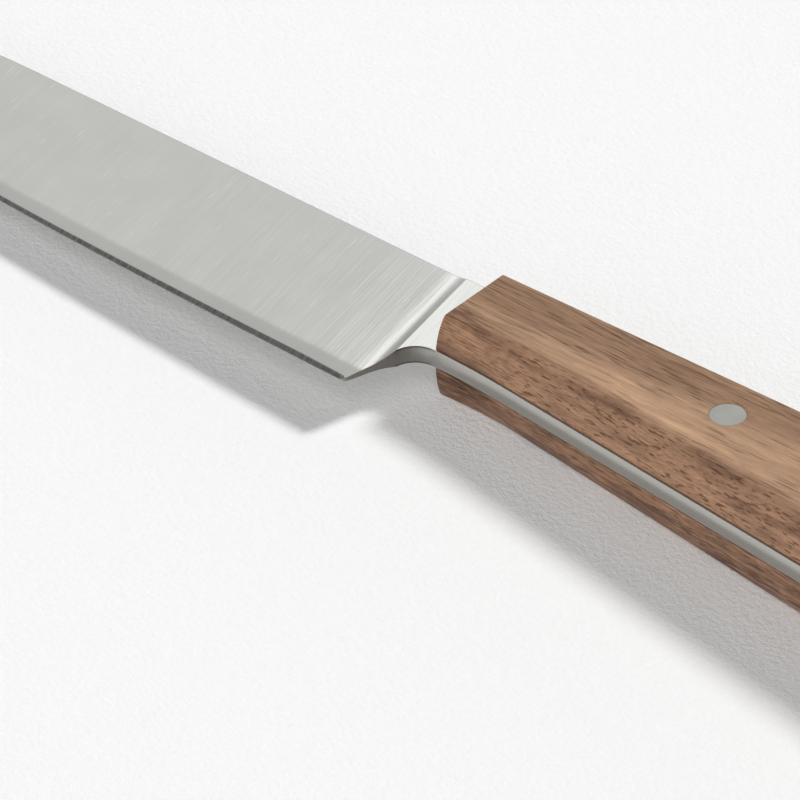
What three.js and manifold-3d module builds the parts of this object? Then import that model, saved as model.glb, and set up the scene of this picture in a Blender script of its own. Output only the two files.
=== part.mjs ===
// Full-tang steak knife: one ground steel blank, two walnut scales and two flush two-part rivets.
// Millimetres, +Z up. The knife lies flat on its lower scale, point towards -X, cutting edge towards -Y.
import * as THREE from 'three';
import { mergeVertices } from 'three/addons/utils/BufferGeometryUtils.js';
import Module from 'manifold-3d';

const wasm = await Module();
wasm.setup();

// Driving dimensions, in a construction frame: X is zero at the handle's front face and grows to the butt,
// Y is zero along the straight spine and falls to the edge, Z is zero in the middle of the steel.
const STEEL_THICKNESS = 2.5;

// Blade, from the heel to the point.
const BLADE_LENGTH = 118;
const BLADE_WIDTH = 24.65;
const POINT_DROP = 8; // the point below the line of the spine
const SPINE_FALL_LENGTH = 45; // stretch over which the spine curves down to the point
const EDGE_SWEEP = 3.7; // rise of the edge's long even curve, heel to point
const EDGE_BELLY_POWER = 6; // how late the rest of the edge's rise comes
const POINT_WIDTH = 0.5;
const SPINE_THICKNESS = 1.84;
const POINT_THICKNESS = 0.9;
const SHOULDER_WIDTH = 2.6; // blended band above the edge
const SHOULDER_THICKNESS = 0.84;
const BEVEL_WIDTH = 0.8; // sharpened bevel, at the heel
const POINT_BEVEL_WIDTH = 0.2;
const BEVEL_THICKNESS = 0.5;
const EDGE_THICKNESS = 0.1;
const HEEL_ROUND = 0.8; // stretch of edge and of back edge that the heel's rounded corner takes

// Ricasso: the full-thickness step in front of the handle, the plunge up to it and the choil below it.
const PLUNGE_LEAN = 10.2; // degrees, spine end towards the point
const PLUNGE_SETBACK = 0.1; // plunge line this far in front of the choil's start
const PLUNGE_RUN = 1.08; // length of the slope up to full thickness
const PLUNGE_FILLET = 0.75; // share of the slope's rise that its rounded foot takes
const CHOIL_RADIUS = 3.5;
const CHOIL_SETBACK = 0.55; // choil curve ends this far in front of the handle
const HEEL_BACK_ANGLE = 76; // degrees between the heel's back edge and the spine

// Handle.
const HANDLE_LENGTH = 114;
const HANDLE_FRONT_DEPTH = 14.05; // spine to belly at the front
const BELLY_ANGLE = 5.43; // degrees by which the belly leaves the spine
const BELLY_BEND_LENGTH = 11.5; // stretch over which the belly takes up that angle
const BUTT_RADIUS = 5;
const SCALE_FRONT_THICKNESS = 4.5; // tang face to flat, at the handle's front
const SCALE_TAPER = 1.42; // degrees by which each flat leaves the tang towards the butt
const BELLY_FLANK_INSET = 1.6;
const SPINE_FLANK_INSET = 1.4;

// Two-part rivets.
const FRONT_RIVET_X = 38.8;
const REAR_RIVET_X = 77.6;
const FRONT_RIVET_DROP = 7.3; // spine to the front rivet's centre
const RIVET_HEAD_DIAMETER = 4.5;
const RIVET_HEAD_DEPTH = 2.2;
const RIVET_BARREL_DIAMETER = 3.2;
const RIVET_POST_DIAMETER = 2;
const POST_ENGAGEMENT = 6; // length of post inside the sleeve

// Clearances.
const BOND_GAP = 0.2; // glue line between a scale and the tang
const BORE_GAP = 0.15; // round every rivet, on the radius
const SEAT_GAP = 0.2; // under a rivet head, and at the barrel's end
const HEAD_RECESS = 0.05; // rivet heads below the scale's flat

// Facet counts.
const BLADE_STEPS = 26;
const HEEL_STEPS = 3;
const PLUNGE_STEPS = 9;
const CHOIL_STEPS = 6;
const BELLY_STEPS = 5;
const TANG_STEPS = 4;
const BUTT_STEPS = 5;
const FACE_STEPS = 3;
const FLANK_STEPS = 6;
const ROUND_SIDES = 32;
const MERGE_DISTANCE = 1e-5; // points closer than this are one point

const halfSteel = STEEL_THICKNESS / 2;
const tan = (degrees) => Math.tan(THREE.MathUtils.degToRad(degrees));
const sin = (degrees) => Math.sin(THREE.MathUtils.degToRad(degrees));
const cos = (degrees) => Math.cos(THREE.MathUtils.degToRad(degrees));
const { lerp } = THREE.MathUtils;

// Evenly spaced values from start to end, both included.
const spread = (start, end, steps) => Array.from({ length: steps + 1 }, (_, i) => lerp(start, end, i / steps));

// Outline. The choil is an arc, level where it ends and tangent to the heel's back edge where it starts.
const choilEnd = new THREE.Vector2(-CHOIL_SETBACK, -HANDLE_FRONT_DEPTH);
const choilCentre = new THREE.Vector2(choilEnd.x, choilEnd.y - CHOIL_RADIUS);
const choilPoint = (angle) => new THREE.Vector2(
  choilCentre.x - CHOIL_RADIUS * sin(angle),
  choilCentre.y + CHOIL_RADIUS * cos(angle),
);
const choilStart = choilPoint(HEEL_BACK_ANGLE);
const heelX = choilStart.x - (choilStart.y + BLADE_WIDTH) / tan(HEEL_BACK_ANGLE);
const heel = new THREE.Vector2(heelX, -BLADE_WIDTH);
const pointX = heelX - BLADE_LENGTH;
const edgeBelly = BLADE_WIDTH - POINT_DROP - EDGE_SWEEP - POINT_WIDTH;

// Cutting edge: a long even curve, and a fuller one that rises to the point.
function edgeY(x) {
  const along = Math.max(0, (heelX - x) / BLADE_LENGTH);
  return -BLADE_WIDTH + EDGE_SWEEP * along ** 2 + edgeBelly * along ** EDGE_BELLY_POWER;
}

// How far the butt's rounded corners draw in.
const buttStart = HANDLE_LENGTH - BUTT_RADIUS;
function buttDrop(x) {
  const past = Math.max(0, x - buttStart);
  return BUTT_RADIUS - Math.sqrt(Math.max(0, BUTT_RADIUS ** 2 - past ** 2));
}

// Spine: falls to the point, straight along the ricasso and handle, rounded at the butt.
function spineY(x) {
  const fall = Math.max(0, (pointX + SPINE_FALL_LENGTH - x) / SPINE_FALL_LENGTH);
  return -POINT_DROP * fall ** 2 - buttDrop(x);
}

// Belly of the handle: level at the choil, bending down to a straight line, rounded at the butt.
function bellyY(x) {
  const past = Math.max(0, x);
  const bend = Math.min(past, BELLY_BEND_LENGTH);
  const straight = past - bend;
  const slope = tan(BELLY_ANGLE);
  return -HANDLE_FRONT_DEPTH - slope * (bend ** 2 / (2 * BELLY_BEND_LENGTH) + straight) + buttDrop(x);
}

// Places along the handle where the tang and the scales have a section.
const handleStations = [
  ...spread(0, BELLY_BEND_LENGTH, BELLY_STEPS),
  ...spread(BELLY_BEND_LENGTH, buttStart, TANG_STEPS).slice(1),
  ...spread(0, 90, BUTT_STEPS).slice(1).map((angle) => buttStart + BUTT_RADIUS * sin(angle)),
];

// The plunge line runs from just before the choil's start up to the spine, leaning towards the point.
// Lines alongside it are named by where they meet the spine.
const lean = tan(PLUNGE_LEAN);
const alongLean = ({ x, y }) => x + lean * y;
const plungeSpineX = alongLean(choilStart) - PLUNGE_SETBACK;
const beforePlunge = (x, y) => (plungeSpineX - alongLean({ x, y })) * cos(PLUNGE_LEAN);

// Sharpened bevel: narrows from the heel to the point.
function bevelWidth(x) {
  const along = THREE.MathUtils.clamp((heelX - x) / BLADE_LENGTH, 0, 1);
  return lerp(BEVEL_WIDTH, POINT_BEVEL_WIDTH, along);
}

// Half thickness of the ground blade, from the edge up to the spine, without the plunge.
function groundHalf(x, y) {
  const fromEdge = Math.max(0, y - edgeY(x));
  const width = spineY(x) - edgeY(x);
  const towardsPoint = THREE.MathUtils.clamp((plungeSpineX - x) / (plungeSpineX - pointX), 0, 1);
  const spineThickness = lerp(SPINE_THICKNESS, POINT_THICKNESS, towardsPoint);
  const shoulder = Math.min(SHOULDER_WIDTH, width / 2);
  const bevel = Math.min(bevelWidth(x), shoulder / 2);
  if (fromEdge < bevel) return lerp(EDGE_THICKNESS, BEVEL_THICKNESS, fromEdge / bevel) / 2;
  if (fromEdge < shoulder) {
    return lerp(BEVEL_THICKNESS, SHOULDER_THICKNESS, (fromEdge - bevel) / (shoulder - bevel)) / 2;
  }
  return lerp(SHOULDER_THICKNESS, spineThickness, (fromEdge - shoulder) / (width - shoulder)) / 2;
}

// Half thickness anywhere on the blank: ground blade, the plunge's slope with its rounded foot, then full steel.
function blankHalf(x, y) {
  const distance = beforePlunge(x, y);
  const ground = groundHalf(x, y);
  if (distance <= 0 || ground >= halfSteel) return halfSteel;
  const slope = lerp(halfSteel, ground, distance / PLUNGE_RUN);
  const fillet = PLUNGE_FILLET * (halfSteel - ground);
  const overlap = Math.max(0, fillet - Math.abs(slope - ground));
  return Math.min(halfSteel, Math.max(slope, ground) + overlap ** 2 / (4 * fillet));
}

// Closed body through rings of equal length, with a fan over each end.
function loft(rings) {
  const count = rings[0].length;
  const middles = [rings[0], rings.at(-1)].map((ring) => {
    const sum = ring.reduce((total, point) => total.add(point), new THREE.Vector3());
    return sum.divideScalar(count);
  });
  const geometry = new THREE.BufferGeometry().setFromPoints([...rings.flat(), ...middles]);
  const lastRing = (rings.length - 1) * count;
  const firstMiddle = rings.length * count;
  const index = [];
  for (let j = 0; j < count; j++) {
    const next = (j + 1) % count;
    for (let start = 0; start < lastRing; start += count) {
      index.push(start + j, start + next, start + count + j);
      index.push(start + next, start + count + next, start + count + j);
    }
    index.push(firstMiddle, next, j);
    index.push(firstMiddle + 1, lastRing + j, lastRing + next);
  }
  geometry.setIndex(index);
  return geometry;
}

function toSolid(geometry) {
  const bare = geometry.clone();
  bare.deleteAttribute('normal');
  bare.deleteAttribute('uv');
  const merged = mergeVertices(bare, MERGE_DISTANCE);
  const corners = merged.index.array;
  const triangles = [];
  for (let i = 0; i < corners.length; i += 3) {
    const [a, b, c] = corners.slice(i, i + 3);
    if (a !== b && b !== c && c !== a) triangles.push(a, b, c);
  }
  return new wasm.Manifold(new wasm.Mesh({
    numProp: 3,
    vertProperties: new Float32Array(merged.attributes.position.array),
    triVerts: new Uint32Array(triangles),
  }));
}

function fromSolid(solid) {
  const mesh = solid.getMesh();
  const geometry = new THREE.BufferGeometry();
  geometry.setAttribute('position', new THREE.BufferAttribute(new Float32Array(mesh.vertProperties), 3));
  geometry.setIndex(new THREE.BufferAttribute(new Uint32Array(mesh.triVerts), 1));
  return geometry;
}

const drill = (geometry, cutters) => fromSolid(
  cutters.reduce((solid, cutter) => solid.subtract(toSolid(cutter)), toSolid(geometry)),
);

// Upright round cutter at a rivet's place.
function roundCutter({ x, y }, diameter, bottom, top) {
  const cutter = new THREE.CylinderGeometry(diameter / 2, diameter / 2, top - bottom, ROUND_SIDES);
  cutter.rotateX(Math.PI / 2);
  return cutter.translate(x, y, (bottom + top) / 2);
}

// Rivets lie on a line that opens from the spine at half the belly's angle.
const rivetPlace = (x) => new THREE.Vector2(x, -FRONT_RIVET_DROP - (x - FRONT_RIVET_X) * tan(BELLY_ANGLE / 2));
const rivetPlaces = { front: rivetPlace(FRONT_RIVET_X), rear: rivetPlace(REAR_RIVET_X) };
const barrelBore = RIVET_BARREL_DIAMETER + 2 * BORE_GAP;
const headBore = RIVET_HEAD_DIAMETER + 2 * BORE_GAP;

// Heights above the middle of the steel, on either side.
const flatHeight = (x) => halfSteel + SCALE_FRONT_THICKNESS + x * tan(SCALE_TAPER);
const headHeight = (x) => flatHeight(x) - HEAD_RECESS;
const headSeat = (x) => flatHeight(x) - RIVET_HEAD_DEPTH;

// Stations of the blank: pairs of outline points, spine side and edge side, from the point to the butt.
function blankStations() {
  const stations = [];
  const add = (upperX, lower) => stations.push([new THREE.Vector2(upperX, spineY(upperX)), lower]);
  const edgeEndX = heelX - HEEL_ROUND;
  const edgeEnd = new THREE.Vector2(edgeEndX, edgeY(edgeEndX));
  for (const share of spread(0, 1, BLADE_STEPS)) {
    const lowerX = lerp(pointX, edgeEndX, share);
    add(lerp(pointX, alongLean(edgeEnd), share), new THREE.Vector2(lowerX, edgeY(lowerX)));
  }
  const backStart = heel.clone().add(choilStart.clone().sub(heel).setLength(HEEL_ROUND));
  const heelCorner = new THREE.QuadraticBezierCurve(edgeEnd, heel, backStart);
  const pastPlunge = (alongLean(choilStart) - plungeSpineX) / (alongLean(choilStart) - alongLean(backStart));
  const plungeFoot = choilStart.clone().lerp(backStart, pastPlunge);
  const alongside = [
    ...spread(0, 1, HEEL_STEPS).slice(1).map((share) => heelCorner.getPoint(share)),
    ...spread(0, 1, PLUNGE_STEPS).slice(1).map((share) => backStart.clone().lerp(plungeFoot, share)),
  ];
  for (const lower of alongside) add(alongLean(lower), lower);
  for (const share of spread(0, 1, CHOIL_STEPS)) {
    add(lerp(alongLean(choilStart), choilEnd.x, share), choilPoint(lerp(HEEL_BACK_ANGLE, 0, share)));
  }
  for (const x of handleStations) add(x, new THREE.Vector2(x, bellyY(x)));
  return stations;
}

// Places along a station where its ring has points, as distances from the edge side.
function stationDistances(upper, lower) {
  const length = upper.distanceTo(lower);
  const fromEdge = Math.max(0, lower.y - edgeY(lower.x));
  const shoulder = Math.min(Math.max(SHOULDER_WIDTH - fromEdge, BEVEL_WIDTH), length / 2);
  const bevel = Math.min(Math.max(bevelWidth(lower.x) - fromEdge, POINT_BEVEL_WIDTH), shoulder / 2);
  return [...spread(length, shoulder, FACE_STEPS), bevel, 0];
}

function makeBlank() {
  const rings = blankStations().map(([upper, lower]) => {
    const length = upper.distanceTo(lower);
    const face = stationDistances(upper, lower).map((distance) => {
      const { x, y } = lower.clone().lerp(upper, distance / length);
      return new THREE.Vector3(x, y, blankHalf(x, y));
    });
    const back = face.map(({ x, y, z }) => new THREE.Vector3(x, y, -z)).reverse();
    return [...face, ...back];
  });
  const holes = Object.values(rivetPlaces).map((place) => (
    roundCutter(place, barrelBore, -STEEL_THICKNESS, STEEL_THICKNESS)
  ));
  return drill(loft(rings), holes);
}

// A flank curves in from its lower edge, upright there, to its corner on the flat.
function flankInset(height, fullHeight, fullInset) {
  const radius = (fullHeight ** 2 + fullInset ** 2) / (2 * fullInset);
  return radius - Math.sqrt(radius ** 2 - height ** 2);
}

// One scale: inner face along the tang, two convex flanks and an outer flat that leaves the tang to the butt.
function makeScale(side) {
  const base = halfSteel + BOND_GAP;
  const rings = handleStations.map((x) => {
    const rise = flatHeight(x) - base;
    const heights = spread(0, rise, FLANK_STEPS);
    const belly = heights.map((height) => new THREE.Vector3(
      x,
      bellyY(x) + flankInset(height, rise, BELLY_FLANK_INSET),
      side * (base + height),
    ));
    const spine = heights.map((height) => new THREE.Vector3(
      x,
      spineY(x) - flankInset(height, rise, SPINE_FLANK_INSET),
      side * (base + height),
    ));
    const ring = [...spine, ...belly.reverse()];
    return side < 0 ? ring.reverse() : ring;
  });
  const bores = Object.values(rivetPlaces).flatMap((place) => {
    const top = flatHeight(HANDLE_LENGTH);
    const reaches = [[barrelBore, 0, top], [headBore, headSeat(place.x), top]];
    return reaches.map(([diameter, from, to]) => (
      roundCutter(place, diameter, Math.min(side * from, side * to), Math.max(side * from, side * to))
    ));
  });
  return drill(loft(rings), bores);
}

// Turned rivet half from a profile of [radius, height]; its head is ground level with the scale's flat.
function makeRivetHalf(place, profile, side) {
  const points = profile.map(([radius, height]) => new THREE.Vector2(radius, height));
  const geometry = new THREE.LatheGeometry(points, ROUND_SIDES);
  geometry.rotateX(Math.PI / 2);
  geometry.translate(place.x, place.y, 0);
  const position = geometry.attributes.position;
  const headTop = side * headHeight(place.x);
  for (let i = 0; i < position.count; i++) {
    const onHead = Math.abs(position.getZ(i) - headTop) < MERGE_DISTANCE;
    if (onHead) position.setZ(i, side * headHeight(position.getX(i)));
  }
  return fromSolid(toSolid(geometry));
}

function makeRivetPost(place) {
  const seat = headSeat(place.x) + SEAT_GAP;
  const end = headSeat(place.x) - POST_ENGAGEMENT;
  return makeRivetHalf(place, [
    [0, end],
    [RIVET_POST_DIAMETER / 2, end],
    [RIVET_POST_DIAMETER / 2, seat],
    [RIVET_HEAD_DIAMETER / 2, seat],
    [RIVET_HEAD_DIAMETER / 2, headHeight(place.x)],
    [0, headHeight(place.x)],
  ], 1);
}

function makeRivetSleeve(place) {
  const seat = -headSeat(place.x) - SEAT_GAP;
  const mouth = headSeat(place.x);
  const boreRadius = RIVET_POST_DIAMETER / 2 + BORE_GAP;
  const boreEnd = mouth - POST_ENGAGEMENT - SEAT_GAP;
  return makeRivetHalf(place, [
    [0, -headHeight(place.x)],
    [RIVET_HEAD_DIAMETER / 2, -headHeight(place.x)],
    [RIVET_HEAD_DIAMETER / 2, seat],
    [RIVET_BARREL_DIAMETER / 2, seat],
    [RIVET_BARREL_DIAMETER / 2, mouth],
    [boreRadius, mouth],
    [boreRadius, boreEnd],
    [0, boreEnd],
  ], -1);
}

const satinSteel = new THREE.MeshStandardMaterial({ color: 0xc4c5c0, roughness: 0.35, metalness: 1 });
const walnut = new THREE.MeshStandardMaterial({ color: 0x8f705b, roughness: 0.6, metalness: 0 });
const rivetSteel = new THREE.MeshStandardMaterial({ color: 0xa5aaa5, roughness: 0.4, metalness: 1 });

function piece(name, geometry, material) {
  geometry.computeVertexNormals();
  const mesh = new THREE.Mesh(geometry, material);
  mesh.name = name;
  return mesh;
}

const knife = new THREE.Group();
knife.add(piece('blade', makeBlank(), satinSteel));
knife.add(piece('upper_scale', makeScale(1), walnut));
knife.add(piece('lower_scale', makeScale(-1), walnut));
for (const [end, place] of Object.entries(rivetPlaces)) {
  knife.add(piece(`${end}_rivet_post`, makeRivetPost(place), rivetSteel));
  knife.add(piece(`${end}_rivet_sleeve`, makeRivetSleeve(place), rivetSteel));
}

// Laid down: turned until the lower flat is level, then moved to stand over the middle of its own box.
knife.rotation.y = -THREE.MathUtils.degToRad(SCALE_TAPER);
knife.updateMatrixWorld(true);
const box = new THREE.Box3().setFromObject(knife, true);
const middle = box.getCenter(new THREE.Vector3());
knife.position.set(-middle.x, -middle.y, -box.min.z);

const steakKnife = new THREE.Group();
steakKnife.add(knife);

export default steakKnife;
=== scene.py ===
import math

import bmesh
import bpy
from mathutils import Matrix, Vector


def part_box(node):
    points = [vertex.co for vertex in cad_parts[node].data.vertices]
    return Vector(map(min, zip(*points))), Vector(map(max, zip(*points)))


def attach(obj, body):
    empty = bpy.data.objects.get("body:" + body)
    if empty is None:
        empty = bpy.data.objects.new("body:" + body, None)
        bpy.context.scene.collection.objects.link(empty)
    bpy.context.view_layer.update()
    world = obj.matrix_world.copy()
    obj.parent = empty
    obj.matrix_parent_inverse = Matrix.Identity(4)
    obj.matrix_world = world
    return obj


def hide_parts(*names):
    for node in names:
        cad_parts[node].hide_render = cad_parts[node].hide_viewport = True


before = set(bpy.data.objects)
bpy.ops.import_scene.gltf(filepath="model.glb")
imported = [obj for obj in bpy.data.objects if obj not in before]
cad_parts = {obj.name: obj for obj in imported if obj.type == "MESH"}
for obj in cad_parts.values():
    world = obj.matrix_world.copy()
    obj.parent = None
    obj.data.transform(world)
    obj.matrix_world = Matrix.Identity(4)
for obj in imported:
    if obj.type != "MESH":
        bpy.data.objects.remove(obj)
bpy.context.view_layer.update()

# Blade: one blank of stainless steel, ground thin from both faces up to a short plunge, with a ricasso,
# a choil and a full tang. The grinds are brushed across, from spine to edge. Sizes are in millimetres:
# X runs from the handle's front to the butt, Y up to the spine and Z up from the middle of the steel.
MM = 0.001
STEEL_THICKNESS = 2.5
BLADE_LENGTH = 118
BLADE_WIDTH = 24.65
POINT_DROP = 8
SPINE_FALL_LENGTH = 45
EDGE_SWEEP = 3.7
EDGE_BELLY_POWER = 6
POINT_WIDTH = 0.5
SPINE_THICKNESS = 1.84
POINT_THICKNESS = 0.9
SHOULDER_WIDTH = 2.6
SHOULDER_THICKNESS = 0.84
SHOULDER_BLEND = 0.03
BEVEL_WIDTH = 0.8
POINT_BEVEL_WIDTH = 0.2
HEEL_BEVEL_RUN = 8
HEEL_BEVEL_END = 0.005
HEEL_BEVEL_POWER = 0.25
BEVEL_THICKNESS = 0.5
EDGE_THICKNESS = 0.1
PLUNGE_LEAN = math.radians(10.2)
PLUNGE_SETBACK = 0.1
PLUNGE_RUN = 1.08
PLUNGE_FILLET = 0.75
CHOIL_RADIUS = 3.5
CHOIL_SETBACK = 0.55
HEEL_BACK_ANGLE = math.radians(76)
HEEL_ROUND = 0.8
SPINE_ROUND = 0.2
CHOIL_BREAK = 0.02
TANG_BREAK = 0.12
BREAK_RUN = 1
TANG_CROWN = 0.22
CROWN_START = -4.5
CROWN_RUN = 3.5
HANDLE_LENGTH = 114
HANDLE_FRONT_DEPTH = 14.05
BELLY_ANGLE = math.radians(5.43)
BELLY_BEND_LENGTH = 11.5
BUTT_RADIUS = 5
SCALE_FRONT_THICKNESS = 4.5
SCALE_TAPER = math.radians(1.42)

half_steel = STEEL_THICKNESS / 2
lean = math.tan(PLUNGE_LEAN)
choil_end = Vector((-CHOIL_SETBACK, -HANDLE_FRONT_DEPTH))
choil_centre = choil_end - Vector((0, CHOIL_RADIUS))


def choil_point(angle):
    """A point of the choil's arc, which ends at angle 0 on the tang."""
    return choil_centre + CHOIL_RADIUS * Vector((-math.sin(angle), math.cos(angle)))


def leaned_x(place):
    """Where a line through a place, with the plunge's lean, meets the spine."""
    return place.x + lean * place.y


choil_start = choil_point(HEEL_BACK_ANGLE)
heel_x = choil_start.x - (choil_start.y + BLADE_WIDTH) / math.tan(HEEL_BACK_ANGLE)
heel = Vector((heel_x, -BLADE_WIDTH))
point_x = heel_x - BLADE_LENGTH
plunge_spine_x = leaned_x(choil_start) - PLUNGE_SETBACK
butt_start = HANDLE_LENGTH - BUTT_RADIUS


def clamp(value, low, high):
    return max(low, min(high, value))


def lerp(start, end, share):
    return start + (end - start) * share


def spread(start, end, steps):
    """Evenly spaced values from start to end, with both."""
    return [lerp(start, end, i / steps) for i in range(steps + 1)]


def soft_min(first, second, blend):
    """The lower of two values, with the corner between them rounded over a blend."""
    overlap = max(0, blend - abs(first - second))
    return min(first, second) - overlap ** 2 / (4 * blend)


def flat_height(x):
    """Height of a scale's outer flat above the middle of the steel."""
    return half_steel + SCALE_FRONT_THICKNESS + x * math.tan(SCALE_TAPER)


def knife_origin():
    """The handle's front, on the spine, in the middle of the steel, as it lies in the part's frame."""
    butt = HANDLE_LENGTH * math.cos(SCALE_TAPER) + flat_height(HANDLE_LENGTH) * math.sin(SCALE_TAPER)
    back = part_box("lower_scale")[1].x / MM - butt
    return Vector((back, BLADE_WIDTH / 2, flat_height(0) * math.cos(SCALE_TAPER)))


origin = knife_origin()
lay_down = Matrix.Rotation(-SCALE_TAPER, 3, "Y")


def laid(x, y, z):
    """A point of the knife as it lies on its lower flat, in metres."""
    return (lay_down @ Vector((x, y, z)) + origin) * MM


def butt_drop(x):
    """How far the butt's round corners draw the outline in from spine and belly."""
    past = clamp(x - butt_start, 0, BUTT_RADIUS)
    return BUTT_RADIUS - math.sqrt(BUTT_RADIUS ** 2 - past ** 2)


def edge_y(x):
    along = max(0, (heel_x - x) / BLADE_LENGTH)
    belly = BLADE_WIDTH - POINT_DROP - EDGE_SWEEP - POINT_WIDTH
    return -BLADE_WIDTH + EDGE_SWEEP * along ** 2 + belly * along ** EDGE_BELLY_POWER


def spine_y(x):
    fall = max(0, (point_x + SPINE_FALL_LENGTH - x) / SPINE_FALL_LENGTH)
    return -POINT_DROP * fall ** 2 - butt_drop(x)


def belly_y(x):
    bend = clamp(x, 0, BELLY_BEND_LENGTH)
    straight = max(0, x) - bend
    flare = math.tan(BELLY_ANGLE) * (bend ** 2 / (2 * BELLY_BEND_LENGTH) + straight)
    return -HANDLE_FRONT_DEPTH - flare + butt_drop(x)


def bevel_width(x):
    """Width of the sharpened bevel, which narrows slowly to the point and quickly into the heel."""
    towards_point = clamp((heel_x - x) / BLADE_LENGTH, 0, 1)
    from_heel = clamp((heel_x - x) / HEEL_BEVEL_RUN, HEEL_BEVEL_END, 1)
    return lerp(BEVEL_WIDTH, POINT_BEVEL_WIDTH, towards_point) * from_heel ** HEEL_BEVEL_POWER


def ground_half(x, y):
    """Half thickness of the grind: sharpened bevel, a shoulder blended into the face, and the face."""
    from_edge = max(0, y - edge_y(x))
    width = spine_y(x) - edge_y(x)
    towards_point = clamp((plunge_spine_x - x) / (plunge_spine_x - point_x), 0, 1)
    spine_thickness = lerp(SPINE_THICKNESS, POINT_THICKNESS, towards_point)
    shoulder = min(SHOULDER_WIDTH, width / 2)
    bevel = min(bevel_width(x), shoulder / 2)
    on_bevel = lerp(EDGE_THICKNESS, BEVEL_THICKNESS, from_edge / bevel) / 2
    on_shoulder = lerp(BEVEL_THICKNESS, SHOULDER_THICKNESS, (from_edge - bevel) / (shoulder - bevel)) / 2
    on_face = lerp(SHOULDER_THICKNESS, spine_thickness, (from_edge - shoulder) / (width - shoulder)) / 2
    return min(on_bevel, soft_min(on_shoulder, on_face, SHOULDER_BLEND))


def before_plunge(place):
    """How far a place lies before the plunge line, towards the point."""
    return (plunge_spine_x - lean * place.y - place.x) * math.cos(PLUNGE_LEAN)


def blank_half(place):
    """Half thickness anywhere on the blank: grind, plunge slope with a rounded foot, full steel."""
    before = before_plunge(place)
    if before <= 0:
        return half_steel
    ground = ground_half(place.x, place.y)
    plunge = lerp(half_steel, ground, before / PLUNGE_RUN)
    return -soft_min(-ground, -plunge, PLUNGE_FILLET * (half_steel - ground))


# Rows of the blank's mesh from spine to edge: how many there are, and how they keep off its corners.
ARC_STEPS = 4
FACE_STEPS = 14
SHOULDER_STEPS = 10
BEVEL_STEPS = 3
SPINE_MARGIN = 0.3
FIRST_ROW_SHARE = 0.3
SHOULDER_MARGIN = 1.2
LEAST_BEVEL = 0.1
BEVEL_CORNER = 0.04
ARC_CLEAR = 0.02
ARC_LENGTH_SHARE = 1 / 8
ARC_HEIGHT_SHARE = 0.6


def blank_section(upper, lower, crown, wall_break):
    """Ring round the blank between two points of its outline: rounded spine, faces, rounded lower wall."""
    length = (lower - upper).length
    along = (lower - upper) / length
    stretch = 1 / abs(along.y)

    def half_at(distance):
        return blank_half(upper + along * distance)

    from_edge = max(0, lower.y - edge_y(lower.x))
    shoulder = clamp(SHOULDER_WIDTH - from_edge, BEVEL_WIDTH, length / 2) * stretch
    bevel = clamp(bevel_width(lower.x) - from_edge, POINT_BEVEL_WIDTH, shoulder / 2) * stretch
    spine_round = min(SPINE_ROUND, length * ARC_LENGTH_SHARE)
    spine_half = half_at(spine_round)
    wall_round = min(wall_break, ARC_HEIGHT_SHARE * half_at(length), length * ARC_LENGTH_SHARE)
    wall_half = half_at(length - wall_round)
    wall_crown = crown * (1 - ((wall_half - wall_round) / wall_half) ** 2)
    arc_centre = length + wall_crown - wall_round
    half_ring = []
    for angle in spread(0, math.pi / 2, ARC_STEPS):
        distance = spine_round * (1 - math.cos(angle))
        half_ring.append((distance, spine_half - spine_round * (1 - math.sin(angle))))
    bevel_start = min(length - bevel, arc_centre - LEAST_BEVEL)
    face_end = max(length - shoulder - SHOULDER_MARGIN, bevel_start / 2)
    face_start = min(spine_round + SPINE_MARGIN, face_end / 2)
    rows = [lerp(spine_round, face_start, FIRST_ROW_SHARE)]
    rows += spread(face_start, face_end, FACE_STEPS)
    rows += spread(face_end, bevel_start - BEVEL_CORNER, SHOULDER_STEPS)[1:]
    rows += spread(bevel_start + BEVEL_CORNER, arc_centre - ARC_CLEAR, BEVEL_STEPS)
    half_ring += [(distance, half_at(distance)) for distance in rows]
    for angle in spread(math.pi / 2, 0, ARC_STEPS):
        half_ring.append((
            arc_centre + wall_round * math.cos(angle),
            wall_half - wall_round + wall_round * math.sin(angle),
        ))
    for share in spread(1, 0, ARC_STEPS)[1:]:
        height = share * (wall_half - wall_round)
        half_ring.append((length + crown * (1 - (height / wall_half) ** 2), height))
    places = [(upper + along * distance, height) for distance, height in half_ring]
    top = [laid(place.x, place.y, height) for place, height in places]
    bottom = [laid(place.x, place.y, -height) for place, height in places[:-1]]
    return top + bottom[::-1]


# Sections along the blank: how many on each stretch, and where they close in on the plunge line.
BLADE_STATIONS = 110
HEEL_STATIONS = 10
HEEL_BACK_STATIONS = 44
RICASSO_STATIONS = 3
CHOIL_STATIONS = 28
FRONT_STATIONS = 4
BEND_STATIONS = 12
TANG_STATIONS = 40
BUTT_STATIONS = 14
PLUNGE_LINE_ROWS = (0.02, 0, -0.02)
BEFORE_PLUNGE_LINE = 0.05
BEHIND_PLUNGE_LINE = -0.06


def rounded(start, at, end, share):
    """A point of a rounded corner that leaves its straight runs at start and end."""
    return start.lerp(at, share).lerp(at.lerp(end, share), share)


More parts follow.
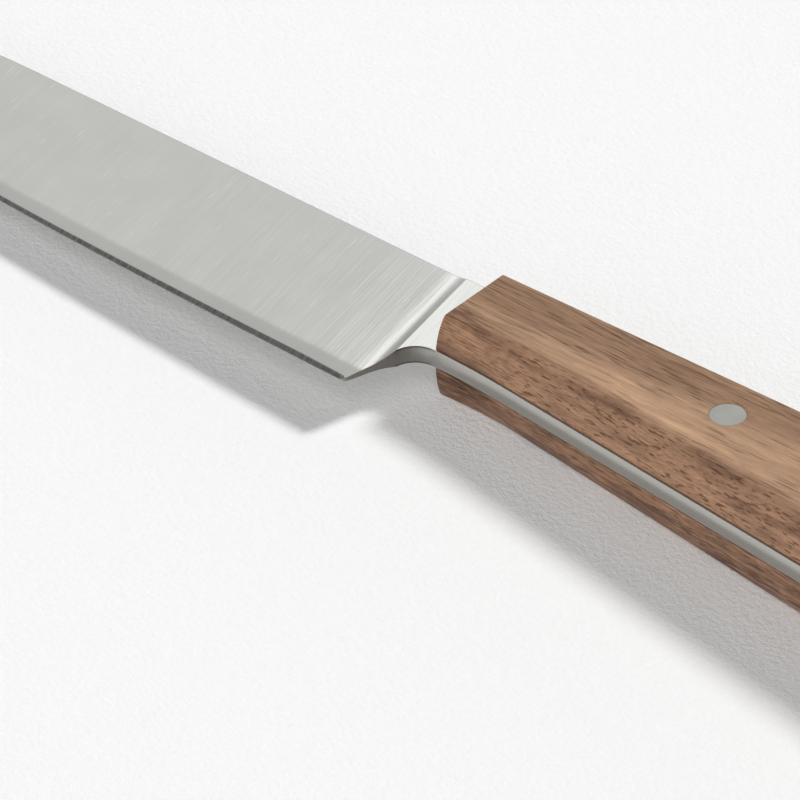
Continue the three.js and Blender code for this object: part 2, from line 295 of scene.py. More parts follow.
def blank_stations():
    """Pairs of outline points from point to butt, with the lower wall's crown and broken edge there."""
    back_edge = (choil_start - heel).normalized()
    stations = []

    def add(upper_x, lower):
        crowned = clamp((lower.x - CROWN_START) / CROWN_RUN, 0, 1)
        wall_break = lerp(CHOIL_BREAK, TANG_BREAK, clamp(lower.x / BREAK_RUN, 0, 1))
        stations.append((Vector((upper_x, spine_y(upper_x))), lower, TANG_CROWN * crowned, wall_break))

    for share in spread(0, 1, BLADE_STATIONS):
        lower_x = lerp(point_x, heel_x - HEEL_ROUND, share)
        add(lower_x - lean * BLADE_WIDTH * share, Vector((lower_x, edge_y(lower_x))))
    corner_start = Vector((heel_x - HEEL_ROUND, edge_y(heel_x - HEEL_ROUND)))
    corner_end = heel + HEEL_ROUND * back_edge
    for share in spread(0, 1, HEEL_STATIONS)[1:]:
        lower = rounded(corner_start, heel, corner_end, share)
        add(leaned_x(lower), lower)
    heel_before = before_plunge(corner_end)
    choil_before = before_plunge(choil_start)
    rows = spread(heel_before, BEFORE_PLUNGE_LINE, HEEL_BACK_STATIONS)[1:]
    rows += PLUNGE_LINE_ROWS
    rows += spread(BEHIND_PLUNGE_LINE, choil_before, RICASSO_STATIONS)
    for before in rows:
        lower = choil_start.lerp(corner_end, (before - choil_before) / (heel_before - choil_before))
        add(leaned_x(lower), lower)
    for share in spread(0, 1, CHOIL_STATIONS)[1:]:
        upper_x = lerp(leaned_x(choil_start), choil_end.x, share)
        add(upper_x, choil_point(lerp(HEEL_BACK_ANGLE, 0, share)))
    tang = spread(0, BREAK_RUN, FRONT_STATIONS)
    tang += spread(BREAK_RUN, BELLY_BEND_LENGTH, BEND_STATIONS)[1:]
    tang += spread(BELLY_BEND_LENGTH, butt_start, TANG_STATIONS)[1:]
    butt_turn = spread(0, math.pi / 2, BUTT_STATIONS)[1:]
    tang += [butt_start + BUTT_RADIUS * math.sin(angle) for angle in butt_turn]
    for x in tang:
        add(x, Vector((x, belly_y(x))))
    return stations


SHARP_CORNER = math.radians(38)
MERGE_DISTANCE = 1e-8


def make_piece(name, points, faces):
    """Closed mesh with smooth faces, whose shading breaks only at sharp corners."""
    mesh = bpy.data.meshes.new(name)
    mesh.from_pydata(points, [], faces)
    shaped = bmesh.new()
    shaped.from_mesh(mesh)
    bmesh.ops.remove_doubles(shaped, verts=shaped.verts, dist=MERGE_DISTANCE)
    bmesh.ops.recalc_face_normals(shaped, faces=shaped.faces)
    shaped.to_mesh(mesh)
    shaped.free()
    mesh.shade_smooth()
    mesh.set_sharp_from_angle(angle=SHARP_CORNER)
    piece = bpy.data.objects.new(name, mesh)
    bpy.context.scene.collection.objects.link(piece)
    return piece


def loft(name, rings):
    """Skin through rings of equal length, closed by a face over each end."""
    count = len(rings[0])
    points = [point for ring in rings for point in ring]
    last = len(points) - count
    faces = [list(range(count))[::-1], list(range(last, last + count))]
    for start in range(0, last, count):
        for j in range(count):
            after = (j + 1) % count
            faces.append((start + j, start + after, start + count + after, start + count + j))
    return make_piece(name, points, faces)


def bore(piece, cutters):
    """Cuts the bores out of a piece and throws the cutters away."""
    for cutter in cutters:
        cut = piece.modifiers.new("bore", "BOOLEAN")
        cut.operation = "DIFFERENCE"
        cut.solver = "EXACT"
        cut.object = cutter
    bpy.context.view_layer.update()
    seen = piece.evaluated_get(bpy.context.evaluated_depsgraph_get())
    bored = bpy.data.meshes.new_from_object(seen)
    piece.modifiers.clear()
    piece.data = bored
    bored.set_sharp_from_angle(angle=SHARP_CORNER)
    for cutter in cutters:
        bpy.data.objects.remove(cutter)


ROUND_SIDES = 96
FRONT_RIVET = Vector((38.8, -7.3))
RIVET_SPACING = 38.8
RIVET_BARREL_RADIUS = 1.6
BARREL_FIT = 0.15
rear_rivet = FRONT_RIVET - Vector((-RIVET_SPACING, RIVET_SPACING * math.tan(BELLY_ANGLE / 2)))
barrel_bore = RIVET_BARREL_RADIUS + BARREL_FIT
rivet_places = {"front": FRONT_RIVET, "rear": rear_rivet}


def turned(name, place, profile, tilted_from=None):
    """Turned piece from (radius, height) pairs. Beyond a height it leans with the handle's flat."""
    rings = []
    for radius, height in profile:
        ring = []
        for i in range(ROUND_SIDES):
            angle = 2 * math.pi * i / ROUND_SIDES
            x = radius * math.cos(angle)
            tilt = 0
            if tilted_from is not None and abs(height) > tilted_from:
                tilt = math.copysign(1, height) * x * math.tan(SCALE_TAPER)
            ring.append(laid(place.x + x, place.y + radius * math.sin(angle), height + tilt))
        rings.append(ring)
    return loft(name, rings)


blade = loft("blade_blank", [blank_section(*station) for station in blank_stations()])
tang_bore = [(barrel_bore, height) for height in (-STEEL_THICKNESS, STEEL_THICKNESS)]
bore(blade, [turned("tang_bore", place, tang_bore) for place in rivet_places.values()])


class Shade:
    """A socket in a material's nodes. Python operators on it add Math nodes."""

    def __init__(self, tree, socket=None):
        self.tree = tree
        self.socket = socket

    def node(self, kind, settings, sockets, output=0):
        """Adds a node, sets it up, fills or links its sockets, and gives one of its outputs."""
        made = self.tree.nodes.new("ShaderNode" + kind)
        for name, value in settings.items():
            if name == "stops":
                ramp = made.color_ramp
                while len(ramp.elements) < len(value):
                    ramp.elements.new(0.5)
                for element, (position, colour) in zip(ramp.elements, value):
                    element.position = position
                    element.color = (*colour, 1)
            else:
                setattr(made, name, value)
        for name, value in sockets.items():
            if isinstance(value, Shade):
                self.tree.links.new(value.socket, made.inputs[name])
            else:
                made.inputs[name].default_value = value
        return Shade(self.tree, made.outputs[output] if made.outputs else None)

    def math(self, operation, *values):
        return self.node("Math", {"operation": operation}, dict(enumerate(values)))

    def __add__(self, other):
        return self.math("ADD", self, other)

    def __radd__(self, other):
        return self.math("ADD", other, self)

    def __sub__(self, other):
        return self.math("SUBTRACT", self, other)

    def __rsub__(self, other):
        return self.math("SUBTRACT", other, self)

    def __mul__(self, other):
        return self.math("MULTIPLY", self, other)

    def __rmul__(self, other):
        return self.math("MULTIPLY", other, self)

    def __abs__(self):
        return self.math("ABSOLUTE", self)


def fade(value, low, high):
    """0 below low, 1 above high, and an even turn between."""
    settings = {"interpolation_type": "SMOOTHSTEP"}
    return value.node("MapRange", settings, {"Value": value, "From Min": low, "From Max": high})


def noise(place, scale, detail=2.0, roughness=0.5):
    """Noise of about -1 to 1 at a place, drawn out by a scale for each axis."""
    stretched = place.node("VectorMath", {"operation": "MULTIPLY"}, {0: place, 1: scale})
    sockets = {"Vector": stretched, "Scale": 1.0, "Detail": detail, "Roughness": roughness}
    return 2 * place.node("TexNoise", {"noise_dimensions": "3D"}, sockets) - 1


def blend(share, start, end):
    """Colour that goes from start to end by a share."""
    settings = {"data_type": "RGBA", "clamp_factor": True}
    colours = [colour if isinstance(colour, Shade) else (*colour, 1) for colour in (start, end)]
    return share.node("Mix", settings, {0: share, 6: colours[0], 7: colours[1]}, 2)


def knife_place(shade):
    """Where a point is on the knife, in millimetres from the handle's front, spine and mid-steel."""
    place = shade.node("TexCoord", {}, {}, "Object")
    moved = shade.node("VectorMath", {"operation": "SUBTRACT"}, {0: place, 1: origin * MM})
    return shade.node("VectorMath", {"operation": "SCALE"}, {0: moved, "Scale": 1 / MM})


def parts_of(place):
    return [place.node("SeparateXYZ", {}, {0: place}, axis) for axis in "XYZ"]


def give_finish(name, pieces, surface):
    """Makes a material from a function that builds its shader, and puts it on the pieces."""
    material = bpy.data.materials.new(name)
    material.use_nodes = True
    tree = material.node_tree
    tree.nodes.clear()
    shade = Shade(tree)
    shade.node("OutputMaterial", {}, {"Surface": surface(shade)})
    for piece in pieces:
        piece.data.materials.clear()
        piece.data.materials.append(material)


STEEL_PALE = (0.80, 0.80, 0.77)
STEEL_DEEP = (0.42, 0.425, 0.405)
WALL_STEEL_AND_WARM_REFLECTION = (0.46, 0.445, 0.41)
STEEL_DULL_AND_SHADE = (0.22, 0.21, 0.195)
STEEL_SHADE = (0.06, 0.057, 0.052)
BRUSH_DEPTH = 0.006 * MM
HIGHLIGHT_STRIP_REACH = 3.6
BRUSH_START = 2
BRUSH_CLOSE_REACH = 13
BRUSH_NEAR_REACH = 45
HONED_WIDTH = 2.3
HONED_END = 3.2
RIM_START = 0.85
RIM_END = 1.2


def blade_steel(shade):
    """Lines across the grind, denser near the plunge, a painted highlight strip before it, a honed edge.
    """
    place = knife_place(shade)
    x, y, z = parts_of(place)
    along = x + y * lean
    before = (plunge_spine_x - along) * math.cos(PLUNGE_LEAN)
    from_heel = shade.math("MAXIMUM", (heel_x - x) * (1 / BLADE_LENGTH), 0)
    from_edge = y + BLADE_WIDTH - from_heel * from_heel * EDGE_SWEEP
    normal = shade.node("NewGeometry", {}, {}, "Normal")
    lengthways, sideways, upright = (abs(part) for part in parts_of(normal))
    wall = 1 - fade(upright, 0.3, 0.7)
    tilt = sideways + lengthways * (1 - fade(from_edge, 0.9, 1.3))
    bevel = fade(tilt, 0.15, 0.21) * (1 - wall)
    choil = wall * (1 - fade(x, -3.4, 0.6))
    rim = wall * (1 - fade(x, -1.5, 0)) * fade(abs(z - x * math.tan(SCALE_TAPER)), RIM_START, RIM_END)
    ground = fade(before, -0.02, 0.02)
    # The ricasso's pale tone below is partly its matte finish, partly painted sheen.
    ricasso = (1 - ground) * (1 - wall)
    # Marks of the belt, drawn out along the plunge's lean, with painted glints among them.
    across = shade.node("CombineXYZ", {}, {"X": along, "Y": y})
    hairs = noise(across, (6.5, 0.08, 0), 3, 0.65)
    scratches = noise(across, (2.6, 0.05, 0), 2)
    glints = fade(noise(across, (5.0, 0.22, 0), 1), 0.36, 0.52)
    bands = noise(across, (0.8, 0.03, 0), 2)
    cloud = noise(place, (0.16, 0.16, 0.16), 2)
    cuts = noise(place, (4.0, 4.0, 0.3), 2)
    brushed = ground * fade(from_edge + hairs * 0.4, HONED_WIDTH, HONED_END)
    honed = ground - brushed
    near = brushed * (1 - fade(before, BRUSH_START, BRUSH_NEAR_REACH))
    close = brushed * (1 - fade(before, BRUSH_START, BRUSH_CLOSE_REACH))
    lines = hairs * 0.8 + scratches * 0.2
    coarse = brushed * 0.12 + near * 0.3 + close * 0.8 + ricasso * 0.9
    # On the slope the tone is lifted a little, as painted light across the cove.
    slope = ground * (1 - fade(before, PLUNGE_RUN * 0.7, PLUNGE_RUN * 1.5))
    # The strip is a painted highlight along the foot of the cove; it is also a little smoother.
    highlight_strip = brushed * (1 - slope) * fade(HIGHLIGHT_STRIP_REACH + lines * 0.5 - before, 0, 2.4)
    # Tone from deep to pale, the darker choil wall, and painted shade on its top rim and the bevel.
    tone = 0.22 + lines * coarse + bands * 0.06 * brushed + cloud * 0.07
    tone = tone + glints * (brushed * 0.3 + close * 0.2)
    tone = tone + near * 0.08 + close * 0.22 + highlight_strip * 0.62 + slope * 0.1 + ricasso * 0.74 - honed * 0.2
    # The choil's wall is darker, partly for its dull finish, partly as painted shade.
    dull_and_shade = choil * (0.75 + cuts * 0.25)
    # Painted shade: a thin dark line on the choil's top rim, and the dark bevel.
    edge_shade = shade.math("MAXIMUM", rim * 0.8, bevel * (0.64 + hairs * 0.3 + scratches * 0.35))
    # Walls take a warmer steel colour, whose warmth is a painted reflection of the wood.
    colour = blend(wall * 0.9, blend(tone, STEEL_DEEP, STEEL_PALE), WALL_STEEL_AND_WARM_REFLECTION)
    rough = 0.28 - highlight_strip * 0.13 + near * 0.03 + close * 0.03 + lines * coarse * 0.06
    bump = shade.node("Bump", {}, {
        "Strength": 1.0,
        "Distance": BRUSH_DEPTH,
        "Height": lines * coarse + cuts * choil * 0.3,
    })
    return shade.node("BsdfPrincipled", {}, {
        "Base Color": blend(edge_shade, blend(dull_and_shade, colour, STEEL_DULL_AND_SHADE), STEEL_SHADE),
        "Metallic": 1.0,
        "Roughness": rough - bevel * 0.12 + choil * 0.1,
        "Normal": bump,
    })


give_finish("brushed_blade_steel", [blade], blade_steel)
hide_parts("blade")
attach(blade, "root")

# Scales: two slabs of walnut glued and riveted to the tang, flat outside, with flanks that curve in from
# the tang and edges just broken. The grain runs along the handle, and they are oiled to a low sheen.
GLUE_LINE = 0.08
BELLY_FLANK_INSET = 1.6
SPINE_FLANK_INSET = 1.4
CREASE_ROUND = 0.3
INNER_ROUND = 0.04
FRONT_REACH = 0.3
FRONT_ROUND = 0.12
LOWER_FRONT_INSET = 0.9
LOWER_INSET_RUN = 9
BUTT_ROUND = 0.5
INSET_FADE = 1.2
HEAD_RADIUS = 2.25
HEAD_DEPTH = 2.2
HEAD_FIT = 0.02
CORNER_STEPS = 5
FLANK_STEPS = 18
FLAT_STEPS = 8
FLAT_MARGIN = 0.06


def corner(before, at, after, reach):
    """Points of a rounded corner between two straight runs."""
    start = at + (before - at).normalized() * reach
    end = at + (after - at).normalized() * reach
    return [rounded(start, at, end, share) for share in spread(0, 1, CORNER_STEPS)]


def flank(foot, inward, rise, inset):
    """Points up a flank that stands upright on its foot and curves in to the flat's corner."""
    radius = (rise ** 2 + inset ** 2) / (2 * inset)
    points = []
    for height in spread(0, rise, FLANK_STEPS):
        drawn_in = radius - math.sqrt(radius ** 2 - height ** 2)
        points.append(Vector((foot.x + inward * drawn_in, foot.y + height)))
    return points


def scale_outline(x, side):
    """Section of a scale as (across, height) points, round from the inner face."""
    belly_inset = BELLY_FLANK_INSET
    if side < 0:
        belly_inset = lerp(LOWER_FRONT_INSET, BELLY_FLANK_INSET, clamp(x / LOWER_INSET_RUN, 0, 1))
    base = half_steel + GLUE_LINE
    rise = flat_height(x) - base
    spine_foot = Vector((spine_y(x), base))
    belly_foot = Vector((belly_y(x), base))
    spine_side = flank(spine_foot, -1, rise, SPINE_FLANK_INSET)
    belly_side = flank(belly_foot, 1, rise, belly_inset)
    spine_crease = spine_side[-1]
    belly_crease = belly_side[-1]
    flat_start = spine_crease.lerp(belly_crease, FLAT_MARGIN)
    flat_end = spine_crease.lerp(belly_crease, 1 - FLAT_MARGIN)
    outline = corner(belly_foot, spine_foot, spine_side[1], INNER_ROUND)
    outline += spine_side[1:-2]
    outline += corner(spine_side[-3], spine_crease, belly_crease, CREASE_ROUND)
    outline += [flat_start.lerp(flat_end, share) for share in spread(0, 1, FLAT_STEPS)]
    outline += corner(spine_crease, belly_crease, belly_side[-3], CREASE_ROUND)
    outline += belly_side[1:-2][::-1]
    outline += corner(belly_side[1], belly_foot, spine_foot, INNER_ROUND)
    return outline


def shrunk(outline, inset):
    """The outline drawn in by an inset that fades out towards the inner face, which stays whole."""
    count = len(outline)
    base = half_steel + GLUE_LINE
    moved = []
    for i, point in enumerate(outline):
        tangent = outline[(i + 1) % count] - outline[i - 1]
        inward = Vector((-tangent.y, tangent.x)).normalized()
        moved.append(point + inward * inset * clamp((point.y - base) / INSET_FADE, 0, 1))
    return moved


def end_inset(x):
    """How far the broken edges of the front and the butt draw a section in."""
    from_front = max(0, FRONT_ROUND - FRONT_REACH - x)
    from_butt = max(0, x - (HANDLE_LENGTH - BUTT_ROUND))
    front = FRONT_ROUND - math.sqrt(max(0, FRONT_ROUND ** 2 - from_front ** 2))
    butt = BUTT_ROUND - math.sqrt(max(0, BUTT_ROUND ** 2 - from_butt ** 2))
    return front + butt


BEHIND_FRONT = 0.3
FLANK_STATIONS = 44
LAST_TURN = math.acos(BUTT_ROUND / BUTT_RADIUS)
BUTT_EDGE_TURN = math.pi / 5


def scale_stations():
    """Places of the sections along a scale, closer together where its ends are rounded."""
    front_turn = spread(math.pi / 2, 0, ARC_STEPS)
    stations = [FRONT_ROUND * (1 - math.sin(angle)) - FRONT_REACH for angle in front_turn]
    stations += spread(BEHIND_FRONT, BELLY_BEND_LENGTH, BEND_STATIONS)
    stations += spread(BELLY_BEND_LENGTH, butt_start, FLANK_STATIONS)[1:]
    butt_turn = spread(0, LAST_TURN, BUTT_STATIONS)[1:]
    stations += [butt_start + BUTT_RADIUS * math.sin(angle) for angle in butt_turn]
    edge_turn = spread(BUTT_EDGE_TURN, math.pi / 2, ARC_STEPS)
    stations += [HANDLE_LENGTH - BUTT_ROUND + BUTT_ROUND * math.sin(angle) for angle in edge_turn]
    return sorted(stations)


def make_scale(name, side):
    """A scale on the upper or the lower side, with its bores and the seats of the rivet heads cut."""
    rings = []
    for x in scale_stations():
        outline = shrunk(scale_outline(x, side), end_inset(x))
        rings.append([laid(x, point.x, side * point.y) for point in outline])
    scale = loft(name, rings)
    cutters = []
    for place in rivet_places.values():
        seat = flat_height(place.x) - HEAD_DEPTH
        top = flat_height(HANDLE_LENGTH)
        for radius, start in ((barrel_bore, 0), (HEAD_RADIUS + HEAD_FIT, seat)):
            cutters.append(turned("scale_bore", place, [(radius, side * start), (radius, side * top)]))
    bore(scale, cutters)
    return scale


upper_scale = make_scale("walnut_upper_scale", 1)
lower_scale = make_scale("walnut_lower_scale", -1)

WALNUT_DARK = (0.075, 0.037, 0.021)
WALNUT_MID = (0.29, 0.174, 0.106)
WALNUT_LIGHT = (0.45, 0.283, 0.178)
WALNUT_FLANK_RUST_LIFTED = (0.365, 0.207, 0.125)
WALNUT_PLUM = (0.155, 0.083, 0.052)
PORE_DEPTH = 0.03 * MM
SEAM_SHADOW_START = 1.48
SEAM_SHADOW_END = 1.72
STREAK_BELOW = 10.06
STREAK_BELOW_SLOPE = 0.114
STREAK_ABOVE = 8.4
STREAK_ABOVE_SLOPE = 0.024
STREAK_REACH = 70
GRAIN_SLOPE = 0.035


def walnut(shade):
    """A light streak that widens to the butt, dark lines towards the spine, short pores on the flank."""
    place = knife_place(shade)
    x, y, z = parts_of(place)
    rise = z - x * math.tan(SCALE_TAPER)
    lower = 1 - fade(rise, -0.4, 0.4)
    slow = noise(place, (0.035, 0.12, 0.12), 2)
    quick = noise(place, (0.16, 0.8, 0.8), 3)
    drift = slow * 0.5 + quick * 0.7
    reach = shade.math("MINIMUM", x, STREAK_REACH)
    below = y + reach * STREAK_BELOW_SLOPE + STREAK_BELOW + drift
    above = y - reach * STREAK_ABOVE_SLOPE + STREAK_ABOVE + drift
    light = fade(below, -0.4, 1.2) * (1 - fade(above, -1.2, 1.4)) * (1 - lower)
    on_flank = 1 - fade(below, -1.0, 0.4)
    # Grain, as noise drawn out along the handle.
    across = y + x * GRAIN_SLOPE + slow * 0.6 + quick * 0.15
    grain = shade.node("CombineXYZ", {}, {"X": x, "Y": across, "Z": rise})
    fibres = noise(grain, (0.34, 6.0, 6.0), 4, 0.7)
    threads = noise(grain, (0.06, 1.6, 1.3), 2)
    strokes = fade(noise(grain, (0.16, 5.6, 4.6), 2), 0.12, 0.24)
    fine = noise(grain, (0.1, 6.5, 6.5), 2)
    flecks = fade(noise(grain, (0.9, 4.2, 4.2), 2), 0.02, 0.3)
    long_pores = fade(noise(grain, (0.16, 3.6, 3.0), 2), 0.14, 0.36)
    short_pores = fade(noise(grain, (0.6, 3.4, 3.4), 1), 0.12, 0.34)
    clusters = fade(noise(grain, (0.04, 0.4, 0.4), 2), -0.15, 0.35)
    blotches = fade(noise(grain, (0.13, 0.5, 0.5), 3), -0.1, 0.4)
    band = fade(below, -2.6, -0.9) * on_flank * (1 - lower) * (0.25 + 0.75 * blotches)

    def patch(middle_x, middle_y, stretch):
        """Dark fibres round a place, drawn out along the grain."""
        over_x = (x - middle_x) * stretch
        over_y = y - middle_y + drift
        return (1 - fade(over_x * over_x + over_y * over_y, 0.1, 1.3)) * fade(fibres, -0.3, 0.3)

    tail = fade(x, 5, 13)
    foot = 1 - fade(abs(rise), 1.7, 3.2)
    front = (1 - fade(x, 3, 14)) * on_flank * (0.2 + 0.6 * foot)
    behind = fade(x, 38, 54) * band * 0.7
    front_half = 1 - fade(x, 20, 42)
    # Colour: ground tone, light streak, darker wood and painted shade, dark strokes, fibres over it all.
    # The flank's rust tone is partly its redder figure, partly painted light where less light falls.
    tone = blend(on_flank, WALNUT_MID, WALNUT_FLANK_RUST_LIFTED)
    tone = blend(light * (0.8 + quick * 0.4), tone, WALNUT_LIGHT)
    patches = patch(29, -3.3, 0.13) * 0.65 + patch(9, -12, 0.22) * 0.4
    # The lower scale's darkening here is painted shade; the rest is the wood's figure.
    figure_and_shade = blotches * (0.18 + 0.27 * on_flank) + band * 0.5 + patches + (front + behind) + lower * 0.5
    tone = blend(figure_and_shade, tone, WALNUT_PLUM)
    tone = blend(flecks * on_flank * (1 - lower) * 0.4, tone, WALNUT_PLUM)
    drawn = strokes * (0.04 + 0.7 * clusters + 0.2 * front_half + 0.2 * lower)
    drawn = drawn * (1 - 0.6 * light - 0.8 * on_flank * tail * (1 - lower))
    tone = blend(drawn, tone, WALNUT_DARK)
    lively = 0.5 + 0.9 * lower + 0.6 * on_flank * (1 - tail)
    core = (1 - fade(abs(below - 1.4), 0.3, 1.5)) * fade(x, 17, 28) * (1 - fade(x, 36, 48))
    mottled = 1 + fibres * lively + threads * (0.4 + 0.5 * lower) + fine * lower * 1.1 + core * 0.22
    tone = shade.node("VectorMath", {"operation": "SCALE"}, {0: tone, "Scale": mottled})
    pores = long_pores * (1 - on_flank * tail) * (1 - light * 0.4)
    pores = pores + short_pores * on_flank * tail * (1 - lower * 0.6)
    # A dark line along the upper scale's foot: partly a glue line, partly painted shadow in the joint.
    seam_glue_and_shadow = (1 - fade(rise, SEAM_SHADOW_START, SEAM_SHADOW_END)) * (1 - lower)
    bump = shade.node("Bump", {}, {
        "Strength": 0.6,
        "Distance": PORE_DEPTH,
        "Height": fibres * 0.3 - pores,
    })
    return shade.node("BsdfPrincipled", {}, {
        "Base Color": blend(shade.math("MAXIMUM", pores * 0.7, seam_glue_and_shadow * 0.8), tone, WALNUT_DARK),
        "Roughness": 0.5 + pores * 0.2,
        "Specular IOR Level": 0.2,
        "Normal": bump,
    })


give_finish("oiled_walnut", [upper_scale, lower_scale], walnut)
for scale, node in ((upper_scale, "upper_scale"), (lower_scale, "lower_scale")):
    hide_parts(node)
    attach(scale, "root")

# Rivets: two-part steel rivets squeezed together through wood and tang. A solid post with a head goes
# down into a sleeve with the other head, and both heads are ground flush with the wood.
RIVET_POST_RADIUS = 1.0
POST_ENGAGEMENT = 6
SEAT_GAP = 0.2
HEAD_RECESS = 0.01
HEAD_BREAK = 0.06
HEAD_RINGS = (0.9, 0.6, 0.3, 0.05)


def head_profile(place):
    """Head of a rivet from its seat to the middle of its top, with a broken rim."""
    seat = flat_height(place.x) - HEAD_DEPTH + SEAT_GAP
    top = flat_height(place.x) - HEAD_RECESS
    rim = []
    for angle in spread(0, math.pi / 2, CORNER_STEPS):
        rim.append((
            HEAD_RADIUS - HEAD_BREAK * (1 - math.cos(angle)),
            top - HEAD_BREAK * (1 - math.sin(angle)),
        ))
    crown = [(HEAD_RADIUS * share, top) for share in HEAD_RINGS]
    return [(HEAD_RADIUS, seat)] + rim + crown


def make_post(end, place):
    """Solid half of a rivet, with its head in the upper scale."""
    seat = flat_height(place.x) - HEAD_DEPTH
    foot = seat - POST_ENGAGEMENT
    stem = [(RIVET_POST_RADIUS, foot), (RIVET_POST_RADIUS, seat + SEAT_GAP)]
    return turned(end + "_rivet_post_steel", place, stem + head_profile(place), seat + SEAT_GAP)


def make_sleeve(end, place):
    """Hollow half of a rivet, with its head in the lower scale."""
    seat = flat_height(place.x) - HEAD_DEPTH
    bore_radius = RIVET_POST_RADIUS + BARREL_FIT
    bore_end = seat - POST_ENGAGEMENT - SEAT_GAP
    barrel = [
        (bore_radius, bore_end),
        (bore_radius, seat),
        (RIVET_BARREL_RADIUS, seat),
        (RIVET_BARREL_RADIUS, -seat - SEAT_GAP),
    ]
    head = [(radius, -height) for radius, height in head_profile(place)]
    return turned(end + "_rivet_sleeve_steel", place, barrel + head, seat + SEAT_GAP)


RIVET_PALE = (0.46, 0.46, 0.43)
RIVET_DEEP = (0.34, 0.34, 0.315)
RIVET_SCRATCH_DEPTH = 0.002 * MM


def rivet_steel(shade):
    """Fine scratches along the handle over a faint cloud."""
    place = knife_place(shade)
    scratches = noise(place, (0.6, 9.0, 9.0), 3)
    cloud = noise(place, (0.5, 0.5, 0.5), 2)
    bump = shade.node("Bump", {}, {
        "Strength": 1.0,
        "Distance": RIVET_SCRATCH_DEPTH,
        "Height": scratches,
    })
    return shade.node("BsdfPrincipled", {}, {
        "Base Color": blend(0.5 + scratches * 0.3 + cloud * 0.4, RIVET_DEEP, RIVET_PALE),
        "Metallic": 1.0,
        "Roughness": 0.38 + scratches * 0.05,
        "Normal": bump,
    })


rivet_halves = []
for end, place in rivet_places.items():
    for half, made in (("post", make_post(end, place)), ("sleeve", make_sleeve(end, place))):
        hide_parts(f"{end}_rivet_{half}")
        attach(made, "root")
        rivet_halves.append(made)
give_finish("satin_rivet_steel", rivet_halves, rivet_steel)

# Floor: a sheet of matt white paper that the knife lies on, wide enough to fill every view.
# Its tooth is a faint unevenness of tone and surface.
FLOOR_RADIUS = 4.0
FLOOR_SIDES = 64
PAPER_WHITE = (0.915, 0.915, 0.915)
PAPER_GREY = (0.895, 0.895, 0.895)
PAPER_TOOTH = 0.08 * MM

floor_turn = spread(0, 2 * math.pi, FLOOR_SIDES)[:-1]
floor_ring = [Vector((math.cos(angle), math.sin(angle), 0)) * FLOOR_RADIUS for angle in floor_turn]
floor_mesh = bpy.data.meshes.new("paper_floor")
floor_mesh.from_pydata(floor_ring, [], [list(range(FLOOR_SIDES))])
floor = bpy.data.objects.new("paper_floor", floor_mesh)
bpy.context.scene.collection.objects.link(floor)


def paper(shade):
    """Matt white with a fine tooth."""
    place = knife_place(shade)
    tooth = noise(place, (1.5, 1.5, 1.5), 4, 0.6)
    bump = shade.node("Bump", {}, {"Strength": 1.0, "Distance": PAPER_TOOTH, "Height": tooth})
    return shade.node("BsdfPrincipled", {}, {
        "Base Color": blend(0.5 + tooth, PAPER_GREY, PAPER_WHITE),
        "Roughness": 0.9,
        "Specular IOR Level": 0.1,
        "Normal": bump,
    })


give_finish("white_paper", [floor], paper)

# Light: a key from behind on the right, a wide soft fill from in front without shadow, and a pale room.
# Metal mirrors the room and not the lamps: it is brightest half-way up, with a greyer ceiling and
# a darker wall past the blade's point.
HORIZON_GLOW = 0.9
CEILING_GLOW = 0.08
ROOM_WHITE = 0.94
DARK_WALL = 0.1
DARK_WALL_SHARE = 0.6
MIRRORED_GREYS = (
    (0.0, 0.85),
    (0.35, 0.95),
    (0.5, 1.12),
    (0.64, 1.22),
    (0.72, 1.05),
    (0.79, 0.55),
    (0.86, 0.32),
    (1.0, 0.25),
)


def shine(name, towards, height, spread_angle, strength, shadow):
    """A distant lamp by compass direction, height and spread in degrees. Metal doesn't mirror it."""
    lamp = bpy.data.lights.new(name, "SUN")
    lamp.energy = strength
    lamp.angle = math.radians(spread_angle)
    lamp.use_shadow = shadow
    rise = math.radians(height)
    level = Vector((*towards, 0)).normalized()
    direction = level * math.cos(rise) + Vector((0, 0, math.sin(rise)))
    lit = bpy.data.objects.new(name, lamp)
    lit.rotation_euler = direction.to_track_quat("Z", "Y").to_euler()
    lit.visible_glossy = False
    bpy.context.scene.collection.objects.link(lit)


shine("key", (0.20, 0.98), 44.5, 12, 2.45, True)
shine("fill", (0.25, -1.0), 40, 70, 1.7, False)

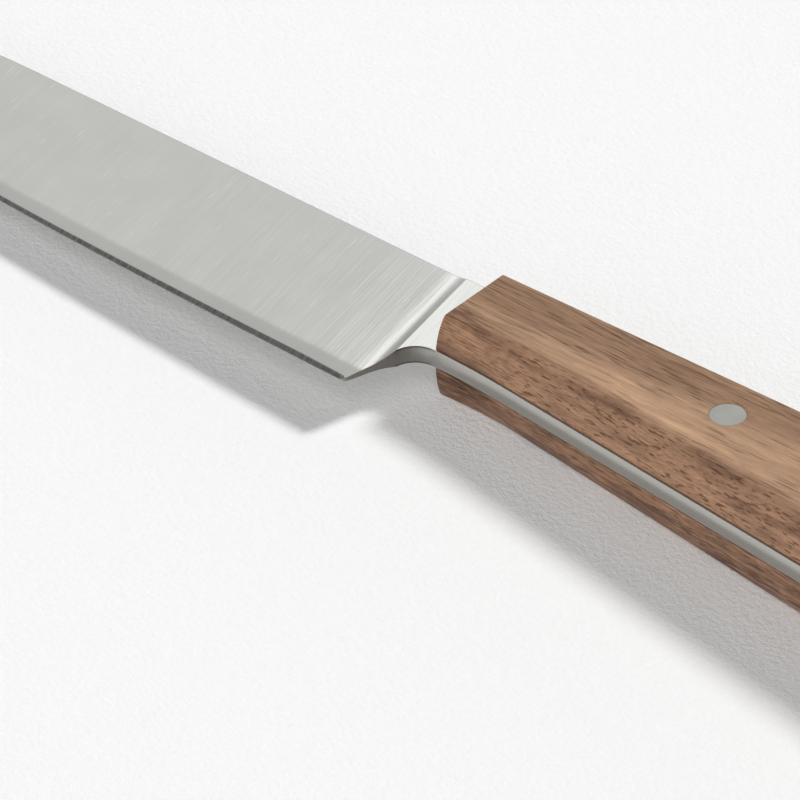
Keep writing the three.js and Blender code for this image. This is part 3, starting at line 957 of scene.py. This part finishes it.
world = bpy.data.worlds.new("pale_room")
bpy.context.scene.world = world
world.use_nodes = True
world.node_tree.nodes.clear()
room = Shade(world.node_tree)
room_x, _, room_z = parts_of(room.node("TexCoord", {}, {}, "Generated"))
stops = [(height, [grey] * 3) for height, grey in MIRRORED_GREYS]
mirrored = room.node("ValToRGB", {"stops": stops}, {"Fac": room_z})
past_point = fade(room_x * -1, 0.6, 0.85)
mirrored = blend(past_point * DARK_WALL_SHARE, mirrored, [DARK_WALL] * 3)
seen_by_eye = room.node("LightPath", {}, {}, "Is Camera Ray")
rays = [room.node("LightPath", {}, {}, ray) for ray in ("Is Glossy Ray", "Is Transmission Ray")]
seen_in_gloss = room.math("MAXIMUM", *rays)
glow = blend(fade(room_z, 0.12, 0.5), [HORIZON_GLOW] * 3, [CEILING_GLOW] * 3)
light = blend(seen_in_gloss, glow, mirrored)
light = blend(seen_by_eye, light, [ROOM_WHITE] * 3)
background = room.node("Background", {}, {"Color": light, "Strength": 1.0})
room.node("OutputWorld", {}, {"Surface": background})

# Camera: at the photograph's angle, from in front of the edge and above, turned a little about its axis.
# Its lens is long, so the knife's lines hardly draw together with distance.
CAMERA_AZIMUTH = math.radians(39.233)
CAMERA_ELEVATION = math.radians(37.403)
CAMERA_ROLL = math.radians(1.624)
CAMERA_DISTANCE = 0.80248
CAMERA_TARGET = Vector((0.00184, -0.00498, 0))
CAMERA_LENS = 298.29
CAMERA_SENSOR = 36

backward = Vector((
    math.sin(CAMERA_AZIMUTH) * math.cos(CAMERA_ELEVATION),
    -math.cos(CAMERA_AZIMUTH) * math.cos(CAMERA_ELEVATION),
    math.sin(CAMERA_ELEVATION),
))
level = Vector((math.cos(CAMERA_AZIMUTH), math.sin(CAMERA_AZIMUTH), 0))
above = backward.cross(level)
rightward = level * math.cos(CAMERA_ROLL) + above * math.sin(CAMERA_ROLL)
upward = above * math.cos(CAMERA_ROLL) - level * math.sin(CAMERA_ROLL)
camera_data = bpy.data.cameras.new("camera")
camera_data.lens = CAMERA_LENS
camera_data.sensor_width = CAMERA_SENSOR
camera = bpy.data.objects.new("camera", camera_data)
turn = Matrix((rightward, upward, backward)).transposed().to_4x4()
camera.matrix_world = Matrix.Translation(CAMERA_TARGET + backward * CAMERA_DISTANCE) @ turn
bpy.context.scene.collection.objects.link(camera)
bpy.context.scene.camera = camera
bpy.context.scene.view_settings.view_transform = "Standard"
